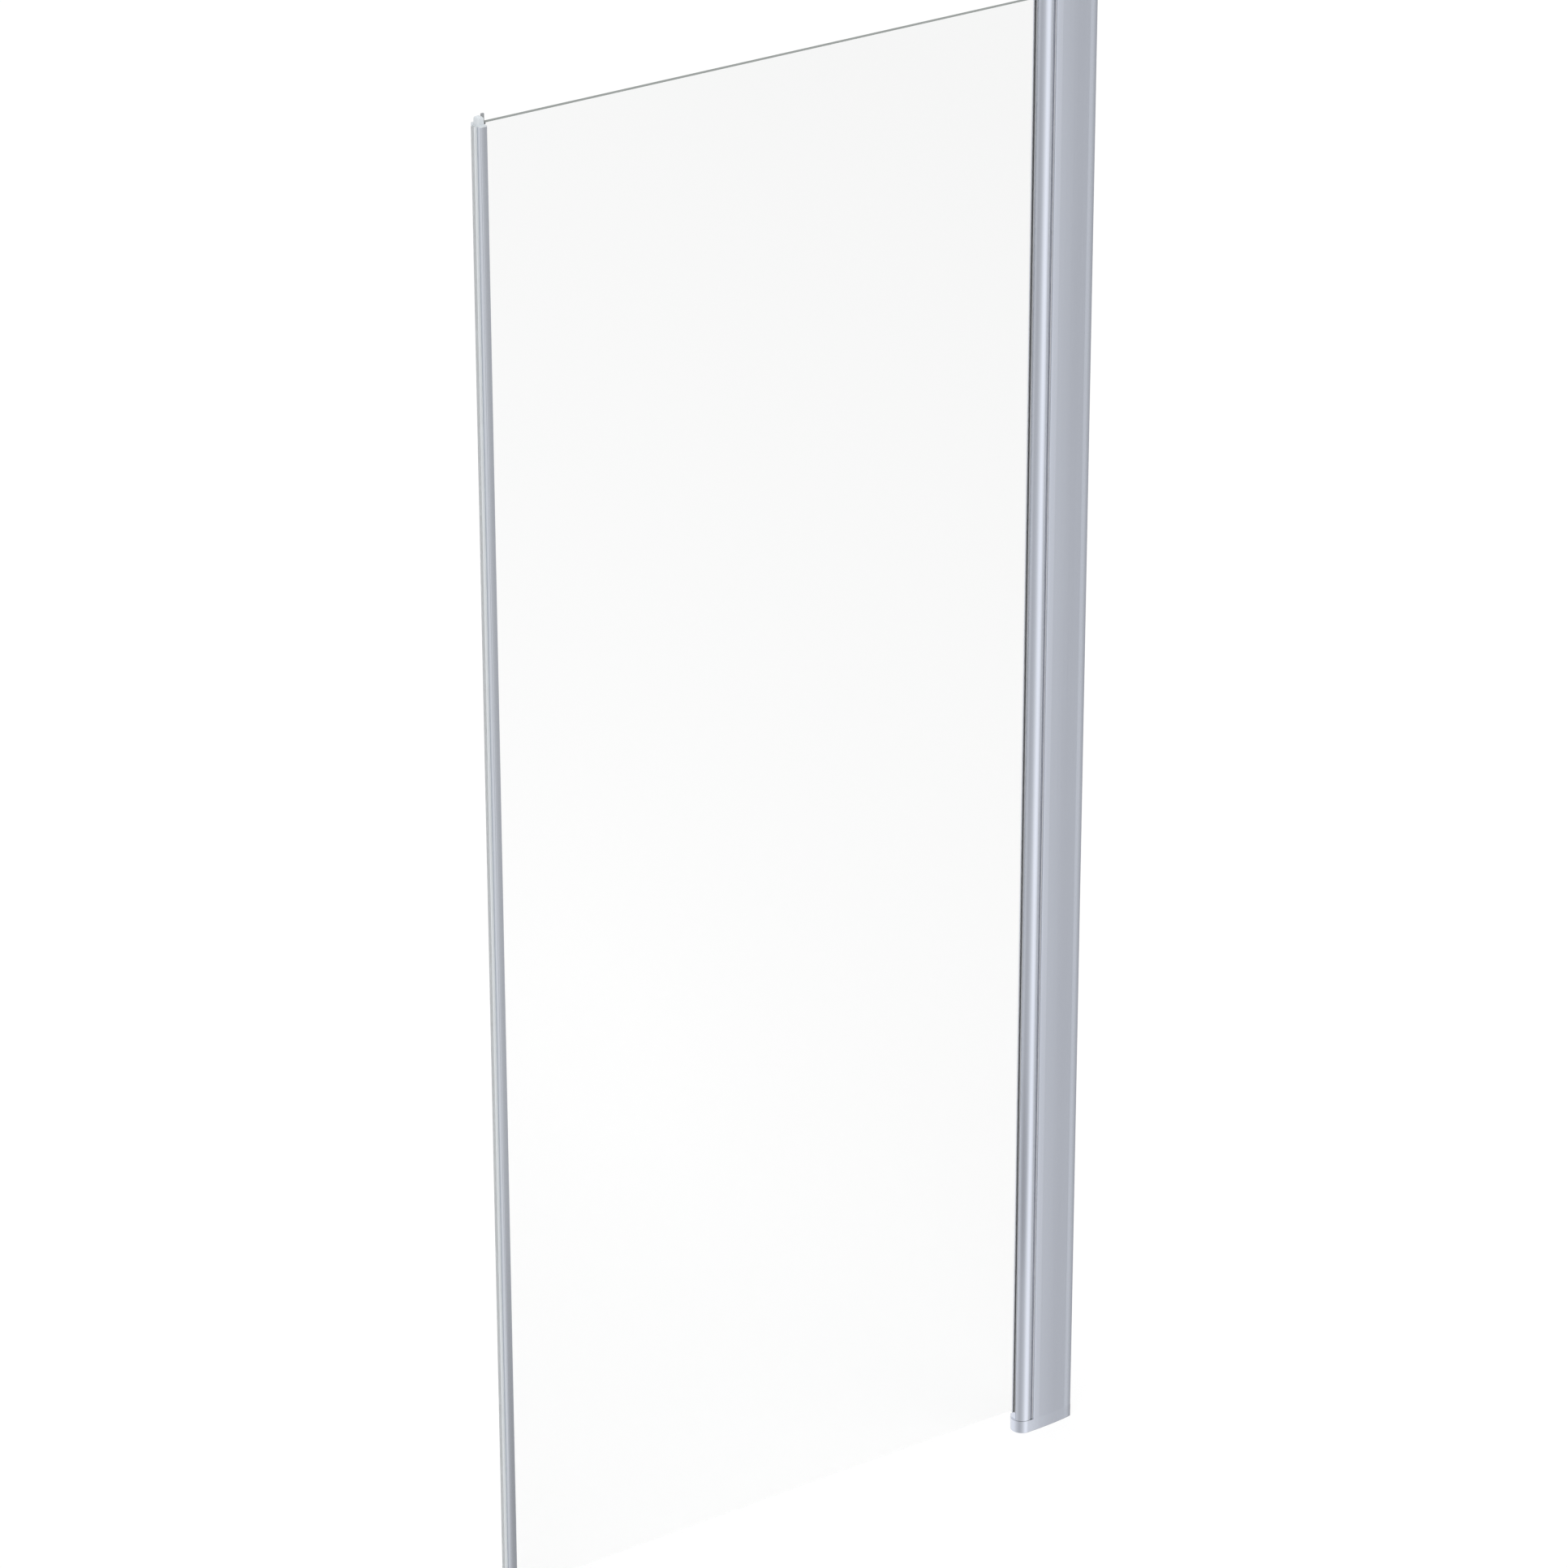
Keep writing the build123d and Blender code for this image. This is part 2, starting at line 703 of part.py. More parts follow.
def closing_cap():
    """Lower end cap of the closing profile: flange, spigots and a block round the glass corner."""
    half = closing_block_wall + glass_half
    lip_half = carrier_half - closing_lip_inset
    plate = profile_outline()
    plate += block(magnet_face + closing_lip_inset, profile_left + over, -lip_half, lip_half)
    body = block(
        profile_left + closing_block_inset, profile_right - closing_block_step, -half, half
    )
    body = fillet(body.vertices(), closing_block_corner)
    body = bar(body, glass_bottom - closing_cover, profile_bottom)
    body = fillet(body.edges().group_by(Axis.Z)[0], closing_block_edge)
    cap = bar(plate, profile_bottom - closing_flange, profile_bottom) + body
    cap += bar(both_sides(profile_chamber(touch)), profile_bottom, profile_bottom + spigot_length)
    room = glass_half + touch
    glass_room = block(glass_left - touch, profile_right + over, -room, room)
    return cap - bar(glass_room, glass_bottom, profile_bottom + over)


def save(name, shape):
    """Writes one piece, or a group of identical ones, to parts/NAME.step."""
    group = shape if isinstance(shape, list) else [shape]
    solids = [solid for piece in group for solid in piece.solids()]
    export_step(solids[0] if len(solids) == 1 else Compound(children=solids), f"parts/{name}.step")


def main():
    os.makedirs("parts", exist_ok=True)
    seal = bar(seal_section(), housing_bottom + running_gap, housing_top - running_gap)
    gasket = bar(column_gasket(), glass_bottom - setting_thickness, glass_top)
    closing = closing_cap()
    cap = end_cap()
    pin = pivot_pin()
    screws = cap_screws()
    bush = pivot_bush()
    pieces = {
        "wall_channel": wall_channel(),
        "hinge_housing": hinge_housing(),
        "housing_seal_back": seal,
        "housing_seal_front": mirror(seal, Plane.XZ),
        "housing_cap_bottom": cap,
        "housing_cap_top": upside_down(cap),
        "cap_screws_bottom": screws,
        "cap_screws_top": [upside_down(screw) for screw in screws],
        "pivot_pin_bottom": pin,
        "pivot_pin_top": upside_down(pin),
        "pivot_washer": pivot_washer(),
        "width_lock_screws": [lock_screw(z) for z in lock_places()],
        "width_lock_plates": [lock_plate(z) for z in lock_places()],
        "width_lock_covers": [lock_cover(z) for z in lock_places()],
        "hinge_column": bar(column_section(), column_bottom, column_top),
        "column_plug_bottom": column_plug_bottom(),
        "column_plug_top": column_plug_top(),
        "pivot_bush_bottom": bush,
        "pivot_bush_top": upside_down(bush),
        "glass_setting_block": glass_setting_block(),
        "column_edge_spacers": edge_spacers(-glass_inset, -slot_floor),
        "column_gasket_back": gasket,
        "column_gasket_front": mirror(gasket, Plane.XZ),
        "glass_panel": glass_panel(),
        "closing_profile": closing_profile(),
        "closing_edge_spacers": edge_spacers(profile_floor, glass_left),
        "closing_gasket_front": closing_gasket_front(),
        "closing_gasket_back": closing_gasket_back(),
        "magnet_carrier": magnet_carrier(),
        "magnet_strip": magnet_strip(),
        "closing_cap_bottom": closing,
        "closing_cap_top": upside_down(closing, glass_bottom + glass_top),
    }
    for name, shape in pieces.items():
        save(name, shape)


main()
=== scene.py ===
import json
import math

import bmesh
import bpy
from mathutils import Matrix, Vector
from mathutils.geometry import tessellate_polygon


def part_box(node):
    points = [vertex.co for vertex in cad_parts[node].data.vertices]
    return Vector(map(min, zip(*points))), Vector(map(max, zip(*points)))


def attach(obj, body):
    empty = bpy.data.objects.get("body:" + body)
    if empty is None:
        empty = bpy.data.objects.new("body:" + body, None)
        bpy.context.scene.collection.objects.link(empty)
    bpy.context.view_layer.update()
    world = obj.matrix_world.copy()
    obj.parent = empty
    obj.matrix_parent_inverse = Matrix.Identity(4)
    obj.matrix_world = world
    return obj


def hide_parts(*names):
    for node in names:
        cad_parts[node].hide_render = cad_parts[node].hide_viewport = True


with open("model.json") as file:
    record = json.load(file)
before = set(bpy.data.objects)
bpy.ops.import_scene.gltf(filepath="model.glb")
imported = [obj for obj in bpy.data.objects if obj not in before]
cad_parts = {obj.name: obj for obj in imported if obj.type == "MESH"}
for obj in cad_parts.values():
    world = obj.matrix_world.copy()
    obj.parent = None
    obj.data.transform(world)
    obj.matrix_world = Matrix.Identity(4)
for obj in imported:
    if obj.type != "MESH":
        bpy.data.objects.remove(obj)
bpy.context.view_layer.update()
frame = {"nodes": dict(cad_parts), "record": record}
nodes = frame["nodes"]

# Millimetres to the scene's metres
MM = 0.001

# Depth of the relief that the finishes have
FINE_RELIEF = 0.01 * MM
DRAG_RELIEF = 0.02 * MM
MOULD_RELIEF = 0.03 * MM
ROLLER_RELIEF = 0.04 * MM


def grey(level):
    return (level, level, level, 1)


def toned(colour, factor, lift=0.0):
    """The colour made lighter or darker."""
    return tuple(min(1.0, c * factor + lift) for c in colour[:3]) + (1,)


# Shader nodes written as Python


class Value:
    """A shader socket with arithmetic: an expression on values adds its Math nodes."""

    def __init__(self, tree, socket):
        self.tree = tree
        self.socket = socket

    def math(self, operation, *others):
        sockets = {0: self, **dict(enumerate(others, 1))}
        return self.tree.add("ShaderNodeMath", {"operation": operation}, sockets)

    def __add__(self, other):
        return self.math("ADD", other)

    __radd__ = __add__

    def __mul__(self, other):
        return self.math("MULTIPLY", other)

    __rmul__ = __mul__

    def __sub__(self, other):
        return self.math("SUBTRACT", other)

    def __rsub__(self, other):
        return self.tree.add("ShaderNodeMath", {"operation": "SUBTRACT"}, {0: other, 1: self})

    def between(self, low, high):
        """The value held between two numbers."""
        return self.math("MAXIMUM", low).math("MINIMUM", high)


class Tree:
    """The node tree of one material or of the world."""

    def __init__(self, owner):
        owner.use_nodes = True
        self.nodes = owner.node_tree.nodes
        self.links = owner.node_tree.links
        self.nodes.clear()

    def add(self, kind, settings=None, inputs=None, output=0):
        """Adds a node: its settings first, then the values or links of its sockets."""
        node = self.nodes.new(kind)
        for name, value in (settings or {}).items():
            if name == "stops":
                self.set_stops(node.color_ramp, value)
            else:
                setattr(node, name, value)
        for name, value in (inputs or {}).items():
            if isinstance(value, Value):
                self.links.new(value.socket, node.inputs[name])
            else:
                node.inputs[name].default_value = value
        if not node.outputs:
            return None
        return Value(self, node.outputs[output])

    @staticmethod
    def set_stops(ramp, stops):
        """Stops are pairs of a position and a level of grey, in order."""
        while len(ramp.elements) < len(stops):
            ramp.elements.new(1.0)
        for element, (position, level) in zip(ramp.elements, stops):
            element.position = position
            element.color = grey(level)

    def noise(self, scale, stretch=(1, 1, 1), detail=3.0):
        """Noise over the object's metres, finer along an axis that has a larger stretch."""
        where = self.add("ShaderNodeTexCoord", output="Object")
        place = self.add("ShaderNodeMapping", {}, {"Vector": where, "Scale": stretch})
        return self.add("ShaderNodeTexNoise", {}, {"Vector": place, "Scale": scale, "Detail": detail})

    def ramp(self, value, stops):
        return self.add("ShaderNodeValToRGB", {"stops": stops}, {0: value})

    def mix(self, factor, a, b):
        """A colour between a and b."""
        return self.add("ShaderNodeMix", {"data_type": "RGBA"}, {"Factor": factor, 6: a, 7: b}, output=2)

    def bump(self, height, distance, strength):
        sockets = {"Height": height, "Distance": distance, "Strength": strength}
        return self.add("ShaderNodeBump", {}, sockets)

    def ray(self, kind):
        """1 where a ray of this kind arrives."""
        return self.add("ShaderNodeLightPath", output=f"Is {kind} Ray")

    def eye(self):
        """1 for what the camera sees, straight or through the glass."""
        return (self.ray("Camera") + self.ray("Transmission")).between(0, 1)

    def mix_shader(self, factor, a, b):
        return self.add("ShaderNodeMixShader", {}, {0: factor, 1: a, 2: b})

    def emission(self, colour, strength):
        return self.add("ShaderNodeEmission", {}, {"Color": colour, "Strength": strength})

    def surface(self, **sockets):
        """One Principled BSDF as the surface; names use _ for spaces."""
        named = {name.replace("_", " "): value for name, value in sockets.items()}
        self.output(self.add("ShaderNodeBsdfPrincipled", {}, named))

    def output(self, shader):
        self.add("ShaderNodeOutputMaterial", {}, {"Surface": shader})


def material(name):
    """A new material and its empty tree."""
    made = bpy.data.materials.new(name)
    return made, Tree(made)


# Finishes


def satin_aluminium(name, colour, roughness):
    """Anodised extrusion: fine die lines along the length and a soft grain."""
    made, tree = material(name)
    lines = tree.noise(1.0, (2600, 2600, 1.5), detail=2.0)
    grain = tree.noise(900.0, (1, 1, 0.25), detail=4.0)
    cloud = tree.noise(9.0, (1, 1, 0.3), detail=2.0)
    tree.surface(
        Base_Color=tree.mix(cloud, toned(colour, 0.93), colour),
        Metallic=1.0,
        Roughness=roughness + 0.08 * (lines - 0.5) + 0.06 * (grain - 0.5),
        Normal=tree.bump(0.7 * lines + 0.3 * grain, FINE_RELIEF, 0.5),
    )
    return made


def moulded_plastic(name, colour, roughness):
    """Injection moulded plastic with a fine spark-eroded grain."""
    made, tree = material(name)
    eroded = tree.noise(1800.0, detail=3.0)
    cloud = tree.noise(25.0, detail=2.0)
    tree.surface(
        Base_Color=tree.mix(cloud, toned(colour, 0.94), colour),
        Roughness=roughness + 0.15 * (eroded - 0.5),
        Normal=tree.bump(eroded, MOULD_RELIEF, 0.6),
    )
    return made


def soft_rubber(name, colour, roughness):
    """Extruded or cut rubber, dull, with faint drag lines."""
    made, tree = material(name)
    drag = tree.noise(1.0, (1500, 1500, 8), detail=2.0)
    dust = tree.noise(400.0, detail=4.0)
    tree.surface(
        Base_Color=tree.mix(dust, colour, toned(colour, 1.35, 0.01)),
        Roughness=roughness + 0.12 * (drag - 0.5),
        Normal=tree.bump(drag, DRAG_RELIEF, 0.5),
    )
    return made


def turned_steel(name, colour, roughness):
    """Turned or drawn steel with fine tool marks."""
    made, tree = material(name)
    marks = tree.noise(1.0, (900, 900, 9000), detail=2.0)
    cloud = tree.noise(60.0, detail=2.0)
    tree.surface(
        Base_Color=tree.mix(cloud, toned(colour, 0.88), colour),
        Metallic=1.0,
        Roughness=roughness + 0.1 * (marks - 0.5),
        Normal=tree.bump(marks, FINE_RELIEF, 0.4),
    )
    return made


def clear_glass(name):
    """Safety glass: faint roller waves, hardly any tint."""
    made, tree = material(name)
    waves = tree.noise(1.2, (1, 1, 2.5), detail=1.0)
    tree.surface(
        Base_Color=(0.997, 0.999, 0.997, 1),
        Roughness=0.0,
        IOR=1.5,
        Transmission_Weight=1.0,
        Normal=tree.bump(waves, ROLLER_RELIEF, 0.3),
    )
    return made


def ground_edge(name):
    """Edge of the glass: ground matt with a fine stone, grey with a breath of green."""
    made, tree = material(name)
    stone = tree.noise(1.0, (300, 3000, 3000), detail=3.0)
    cloud = tree.noise(40.0, detail=2.0)
    tree.surface(
        Base_Color=tree.mix(cloud, (0.24, 0.26, 0.25, 1), (0.29, 0.31, 0.30, 1)),
        Roughness=0.5 + 0.1 * (stone - 0.5),
        Normal=tree.bump(stone, FINE_RELIEF, 0.4),
    )
    return made


def vinyl(name, colour, clearness):
    """Translucent soft vinyl, more or less milky."""
    made, tree = material(name)
    drag = tree.noise(1.0, (1200, 1200, 6), detail=2.0)
    tree.surface(
        Base_Color=tree.mix(drag, colour, toned(colour, 1.09)),
        Roughness=0.3 + 0.12 * (drag - 0.5),
        Transmission_Weight=clearness,
        IOR=1.5,
        Normal=tree.bump(drag, DRAG_RELIEF, 0.5),
    )
    return made


SILVER = (0.72, 0.756, 0.848, 1)

# The finish of each of the record's slots: who makes it, a colour, and how rough or clear it is
FINISHES = {
    "aluminium_profile": (satin_aluminium, SILVER, 0.21),
    "clear_glass": (clear_glass,),
    "dark_rubber": (soft_rubber, (0.35, 0.36, 0.38, 1), 0.6),
    "grey_gasket": (soft_rubber, (0.46, 0.47, 0.50, 1), 0.55),
    "clear_vinyl": (vinyl, (0.79, 0.82, 0.84, 1), 0.10),
    "magnet": (soft_rubber, (0.09, 0.09, 0.10, 1), 0.5),
    "silver_plastic": (satin_aluminium, SILVER, 0.24),
    "pale_plastic": (moulded_plastic, (0.70, 0.74, 0.77, 1), 0.35),
    "white_bearing": (moulded_plastic, (0.84, 0.84, 0.81, 1), 0.3),
    "stainless": (turned_steel, (0.62, 0.61, 0.60, 1), 0.25),
    "zinc_steel": (turned_steel, (0.60, 0.62, 0.64, 1), 0.3),
}
materials = {slot: make(slot, *values) for slot, (make, *values) in FINISHES.items()}
glass_edge = ground_edge("ground_glass_edge")
magnet_window = vinyl("magnet_window", (0.76, 0.78, 0.79, 1), 0.6)
tongue_rubber = soft_rubber("tongue_rubber", (0.27, 0.28, 0.29, 1), 0.55)
# A darker copy of the silver anodising for the closing profile: painted shade
shaded_closing_aluminium = satin_aluminium("shaded_closing_aluminium", (0.62, 0.65, 0.71, 1), 0.24)

for part in frame["record"]["subparts"]:
    cad_mesh = nodes[part["node"]].data
    cad_mesh.materials.clear()
    cad_mesh.materials.append(materials[part["material_slot"]])


# Meshes

SOFT_ANGLE = math.radians(35)


def smooth(mesh):
    """Smooth shading, but for edges sharper than the soft angle."""
    mesh.shade_smooth()
    mesh.set_sharp_from_angle(angle=SOFT_ANGLE)


def mesh_piece(name, points, faces, finish):
    """A new object from points and faces, whose faces are turned to look outwards."""
    mesh = bpy.data.meshes.new(name)
    mesh.from_pydata(points, [], faces)
    mesh.materials.append(finish)
    work = bmesh.new()
    work.from_mesh(mesh)
    bmesh.ops.recalc_face_normals(work, faces=work.faces)
    work.to_mesh(mesh)
    work.free()
    smooth(mesh)
    piece = bpy.data.objects.new(name, mesh)
    bpy.context.scene.collection.objects.link(piece)
    return piece


def stand_in(piece, node):
    """Puts a mesh on the leaf in place of a CAD node."""
    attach(piece, "door")
    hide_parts(node)


def corners_of(node):
    """Lowest and highest corner of a CAD node's box."""
    return [Vector(corner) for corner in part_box(node)]


def rounded(corners, steps=7):
    """A closed outline through (x, y, radius) corners, each with an arc of its radius."""
    outline = []
    for i, (x, y, radius) in enumerate(corners):
        here = Vector((x, y))
        if radius == 0:
            outline.append((x, y))
            continue
        back = (Vector(corners[i - 1][:2]) - here).normalized()
        ahead = (Vector(corners[(i + 1) % len(corners)][:2]) - here).normalized()
        half = back.angle(ahead) / 2
        centre = here + (back + ahead).normalized() * radius / math.sin(half)
        first = here + back * radius / math.tan(half) - centre
        last = here + ahead * radius / math.tan(half) - centre
        turns = [first.slerp(last, step / steps) for step in range(steps + 1)]
        outline += [tuple(centre + radius * turn) for turn in turns]
    return outline


def mirrored(corners):
    """Corners of a front half and, going back the other way, of the same back half."""
    return corners + [(x, -y, radius) for x, y, radius in reversed(corners)]


def block(x0, x1, y0, y1, radius=0.0):
    """Corners of a rectangle."""
    return [(x0, y0, radius), (x1, y0, radius), (x1, y1, radius), (x0, y1, radius)]


def sides(first, count, rise):
    """Faces between a ring of points and the same ring further on."""
    here = range(first, first + count)
    ahead = [*here[1:], first]
    return [(i, after, after + rise, i + rise) for i, after in zip(here, ahead)]


def bar(name, outlines, z0, z1, finish):
    """An extrusion along Z: the first outline is its edge, and the others are hollows in it."""
    corners = [corner for outline in outlines for corner in outline]
    points = [(x, y, z) for z in (z0, z1) for x, y in corners]
    rise = len(corners)
    faces = []
    first = 0
    for outline in outlines:
        faces += sides(first, len(outline), rise)
        first += len(outline)
    flat = [[Vector((x, y, 0)) for x, y in outline] for outline in outlines]
    for triangle in tessellate_polygon(flat):
        faces.append(tuple(triangle))
        faces.append(tuple(k + rise for k in triangle))
    return mesh_piece(name, points, faces, finish)


def lofted(name, rings, finish):
    """A closed body through rings of as many points each."""
    count = len(rings[0])
    points = [point for outline in rings for point in outline]
    last = len(points) - count
    faces = [tuple(range(count)), tuple(range(last, len(points)))]
    for first in range(0, last, count):
        faces += sides(first, count, count)
    return mesh_piece(name, points, faces, finish)


def ring(corners, z, steps=7):
    """The rounded outline through the corners, at a height."""
    return [(x, y, z) for x, y in rounded(corners, steps)]


def combined(piece, other, operation):
    """The piece united with, or less, another mesh, which is used up."""
    change = piece.modifiers.new(operation, "BOOLEAN")
    change.operation = operation
    change.object = other
    shape = piece.evaluated_get(bpy.context.evaluated_depsgraph_get())
    piece.data = bpy.data.meshes.new_from_object(shape)
    piece.modifiers.clear()
    bpy.data.objects.remove(other)
    smooth(piece.data)
    return piece


# Glass

ARRIS = 0.4 * MM


def glass_pane():
    """The glass with polished faces and a ground top edge."""
    low, high = corners_of("glass_panel")
    rings = []
    for z, inset in ((low.z, 0), (high.z - ARRIS, 0), (high.z, ARRIS)):
        rings.append(ring(block(low.x, high.x, low.y + inset, high.y - inset), z))
    pane = lofted("glass_pane", rings, materials["clear_glass"])
    pane.data.materials.append(glass_edge)
    for face in pane.data.polygons:
        seen_from_above = face.center.z > high.z - ARRIS
        face.material_index = 1 if seen_from_above else 0
    # Light goes through clear glass
    pane.visible_shadow = False
    stand_in(pane, "glass_panel")


# Closing edge

# Pieces that press on each other are drawn this far apart
TOUCH = 0.02 * MM

SLOT_HALF = 4.3 * MM
SLOT_DEPTH = 6.2 * MM
TRACK_HALF = 4.6 * MM
TRACK_DEPTH = 1.8 * MM
TRACK_LIP = 1.3 * MM
MOUTH_HALF = 3.0 * MM
WALL = 1.3 * MM
PROFILE_FALL = 0.7 * MM
SIDE_FALL = 1.3 * MM
SIDE_FLAT_HALF = 4.4 * MM
PROFILE_CORNER = 0.9 * MM
PROFILE_EDGE = 0.35 * MM
HOLLOW_CORNER = 0.8 * MM
SMALL_EDGE = 0.2 * MM


def profile_front(steps=8):
    """Corners of the leaning outer side and of the front face, which falls away to the glass."""
    low, high = corners_of("closing_profile")
    start = low.x + SIDE_FALL
    bow = []
    for step in range(1, steps):
        share = step / steps
        bow.append((start + (high.x - start) * share, low.y + PROFILE_FALL * share**2, 0))
    side = [(low.x, -SIDE_FLAT_HALF, 0), (start, low.y, PROFILE_CORNER)]
    return side + bow + [(high.x, low.y + PROFILE_FALL, PROFILE_EDGE)]


def closing_profile():
    """Glass slot at one side, track for the magnet carrier at the other, two hollows between."""
    low, high = corners_of("closing_profile")
    slot_floor = high.x - SLOT_DEPTH
    track_back = low.x + TRACK_LIP
    track_floor = track_back + TRACK_DEPTH
    outer = mirrored(
        [
            (track_floor, -TRACK_HALF, SMALL_EDGE),
            (track_back, -TRACK_HALF, SMALL_EDGE),
            (track_back, -MOUTH_HALF, SMALL_EDGE),
            (low.x, -MOUTH_HALF, SMALL_EDGE),
        ]
        + profile_front()
        + [(high.x, -SLOT_HALF, SMALL_EDGE), (slot_floor, -SLOT_HALF, SMALL_EDGE)]
    )
    outlines = [rounded(outer)]
    for side in (-1, 1):
        y0, y1 = sorted((side * (SLOT_HALF + WALL), side * (high.y - PROFILE_FALL - WALL)))
        outlines.append(rounded(block(low.x + WALL, high.x - WALL, y0, y1, HOLLOW_CORNER)))
    # The darker copy of the anodising on this shell is painted shade
    section = bar("closing_profile_shell", outlines, low.z, high.z, shaded_closing_aluminium)
    stand_in(section, "closing_profile")


CARRIER_PLAY = 0.1 * MM
HEAD_INSET = 0.6 * MM
HEAD_CORNER = 1.2 * MM


def magnet_carrier():
    """Soft strip: a foot in the track, a neck and a rounded head with a window over the magnet."""
    low, high = corners_of("magnet_carrier")
    profile = corners_of("closing_profile")[0]
    head_half = low.y + HEAD_INSET
    lean = SIDE_FALL * (head_half + SIDE_FLAT_HALF) / (profile.y + SIDE_FLAT_HALF)
    seat = profile.x - TOUCH
    neck_end = profile.x + TRACK_LIP + CARRIER_PLAY
    neck_half = CARRIER_PLAY - MOUTH_HALF
    foot_half = CARRIER_PLAY - TRACK_HALF
    outer = mirrored(
        [
            (low.x, head_half, HEAD_CORNER),
            (seat + lean, head_half, 0),
            (seat, -SIDE_FLAT_HALF, 0),
            (seat, neck_half, SMALL_EDGE),
            (neck_end, neck_half, SMALL_EDGE),
            (neck_end, foot_half, SMALL_EDGE),
            (high.x, foot_half, SMALL_EDGE),
        ]
    )
    magnet_low, magnet_high = corners_of("magnet_strip")
    x0, x1 = magnet_low.x - CARRIER_PLAY, magnet_high.x + CARRIER_PLAY
    y0, y1 = magnet_low.y - CARRIER_PLAY, magnet_high.y + CARRIER_PLAY
    pocket = block(x0, x1, y0, y1, SMALL_EDGE)
    outlines = [rounded(outer), rounded(pocket)]
    strip = bar("magnet_carrier_strip", outlines, low.z, high.z, materials["clear_vinyl"])
    strip.data.materials.append(magnet_window)
    for face in strip.data.polygons:
        over_magnet = face.center.x < low.x + CARRIER_PLAY
        face.material_index = 1 if over_magnet else 0
    stand_in(strip, "magnet_carrier")


LIP_THICKNESS = 1.9 * MM
LIP_CORNER = 1.2 * MM
TAIL_ABOVE_GLASS = 8.7 * MM
TAIL_REACH = 4.6 * MM
TAIL_STEP = 0.3 * MM
TAIL_CORNER = 0.4 * MM
TAIL_SOFT_EDGE = 0.7 * MM


def back_gasket():
    """The back glazing strip of the closing profile, whose lip stands up as a tongue at the top."""
    low, high = corners_of("closing_gasket_back")
    profile = corners_of("closing_profile")[1]
    glass_top = corners_of("glass_panel")[1].z
    lip = low.y + LIP_THICKNESS
    strip = rounded(
        [
            (low.x, low.y, 0),
            (high.x, low.y, 0),
            (high.x, lip, LIP_CORNER),
            (profile.x, lip, 0),
            (profile.x, high.y, 0),
            (low.x, high.y, 0),
        ]
    )
    gasket = bar("closing_gasket_tongue", [strip], low.z, profile.z, tongue_rubber)
    x0, x1 = profile.x + TAIL_STEP, profile.x + TAIL_REACH
    top = glass_top + TAIL_ABOVE_GLASS
    soft = TAIL_SOFT_EDGE
    heights = ((profile.z - soft, 0), (top - soft, 0), (top - 0.3 * soft, 0.3 * soft), (top, soft))
    rings = []
    for z, inset in heights:
        y0, y1 = low.y + inset / 2, lip - inset / 2
        corners = block(x0 + inset, x1 - inset, y0, y1, TAIL_CORNER)
        rings.append(ring(corners, z, 4))
    tail = lofted("tail", rings, tongue_rubber)
    stand_in(combined(gasket, tail, "UNION"), "closing_gasket_back")


CAP_ABOVE_GLASS = 7.5 * MM
CAP_PLATE = 1.2 * MM
CAP_HALF = 5.6 * MM
CAP_OUTER_INSET = 0.6 * MM
CAP_GLASS_INSET = 0.3 * MM
CAP_CORNER = 1.6 * MM
CAP_DRAFT = 0.5 * MM
CAP_SOFT_EDGE = 2.6 * MM

# Cuts go this far past what they cut
OVER = 2 * MM


def closing_cap(name, node, end, steps=6):
    """Plate and domed block round the glass, on the top (1) or bottom (-1) of the closing profile."""
    low, high = corners_of("closing_profile")
    glass_low, glass_high = corners_of("glass_panel")
    at_top = end > 0
    edge = high.z if at_top else low.z
    glass_end = glass_high.z if at_top else glass_low.z
    tip = glass_end + end * CAP_ABOVE_GLASS
    plastic = materials["pale_plastic"]
    z0, z1 = sorted((edge, edge + end * CAP_PLATE))
    cap = bar(name, [rounded(mirrored(profile_front()))], z0, z1, plastic)
    heights = [(edge, 0.0)]
    for step in range(steps + 1):
        turn = math.pi / 2 * step / steps
        z = tip - end * CAP_SOFT_EDGE * (1 - math.sin(turn))
        heights.append((z, CAP_DRAFT + CAP_SOFT_EDGE * (1 - math.cos(turn))))
    rings = []
    for z, inset in heights:
        x0, x1 = low.x + CAP_OUTER_INSET + inset, high.x - CAP_GLASS_INSET - inset
        half = CAP_HALF - inset
        rings.append(ring(block(x0, x1, -half, half, CAP_CORNER), z))
    cap = combined(cap, lofted("dome", rings, plastic), "UNION")
    x0, x1 = glass_low.x - TOUCH, high.x + OVER
    room = rounded(block(x0, x1, glass_low.y - TOUCH, glass_high.y + TOUCH))
    z0, z1 = sorted((edge - end * OVER, glass_end + end * TOUCH))
    cap = combined(cap, bar("room", [room], z0, z1, plastic), "DIFFERENCE")
    stand_in(cap, node)


glass_pane()
closing_profile()
magnet_carrier()
back_gasket()
closing_cap("closing_cap_domed_top", "closing_cap_top", 1)
closing_cap("closing_cap_domed_bottom", "closing_cap_bottom", -1)


# Studio


def spot(tree, place, turn, half_axes):
    """How far a place on the floor is from the middle of an ellipse: 1 on its rim."""
    sockets = {
        "Vector": tree.add("ShaderNodeTexCoord", output="Object"),
        "Location": (*place, 0),
        "Rotation": (0, 0, math.radians(turn)),
        "Scale": (*half_axes, 1),
    }
    around = tree.add("ShaderNodeMapping", {"vector_type": "TEXTURE"}, sockets)
    return tree.add("ShaderNodeVectorMath", {"operation": "LENGTH"}, {0: around}, output="Value")


# Whites of the floor, seen straight and through the glass, and their share beside its shaded tone
STRAIGHT_WHITE = grey(1.06)
WHITE_IN_GLASS = grey(0.988)
WHITE_SHARE = 0.8
